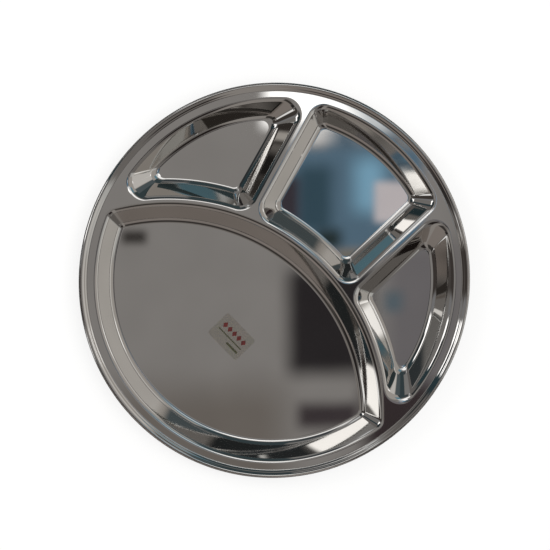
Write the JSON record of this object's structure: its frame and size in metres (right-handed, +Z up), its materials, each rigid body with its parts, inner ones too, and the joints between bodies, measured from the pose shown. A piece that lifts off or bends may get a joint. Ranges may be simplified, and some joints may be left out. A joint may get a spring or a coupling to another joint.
{
  "type": "compartment plate",
  "caption": "Round pressed steel dinner plate with a large lens-shaped well, smaller side wells, raised ribs between them and a rolled edge.",
  "frame": {"origin": "on the table, under the centre of the plate", "axes": "+Z up, +Y along the symmetry axis from the main well towards the centre well"},
  "size_m": [0.33, 0.33, 0.0193],
  "materials": {
    "polished_steel": "mirror polished stainless steel sheet",
    "label_film": "thin clear adhesive film with plain printed marks"
  },
  "bodies": {
    "root": {"rolled_rim": "polished_steel", "deck": "polished_steel", "main_well": "polished_steel", "left_well": "polished_steel", "centre_well": "polished_steel", "right_well": "polished_steel", "label_film": "label_film"}
  },
  "joints": []
}
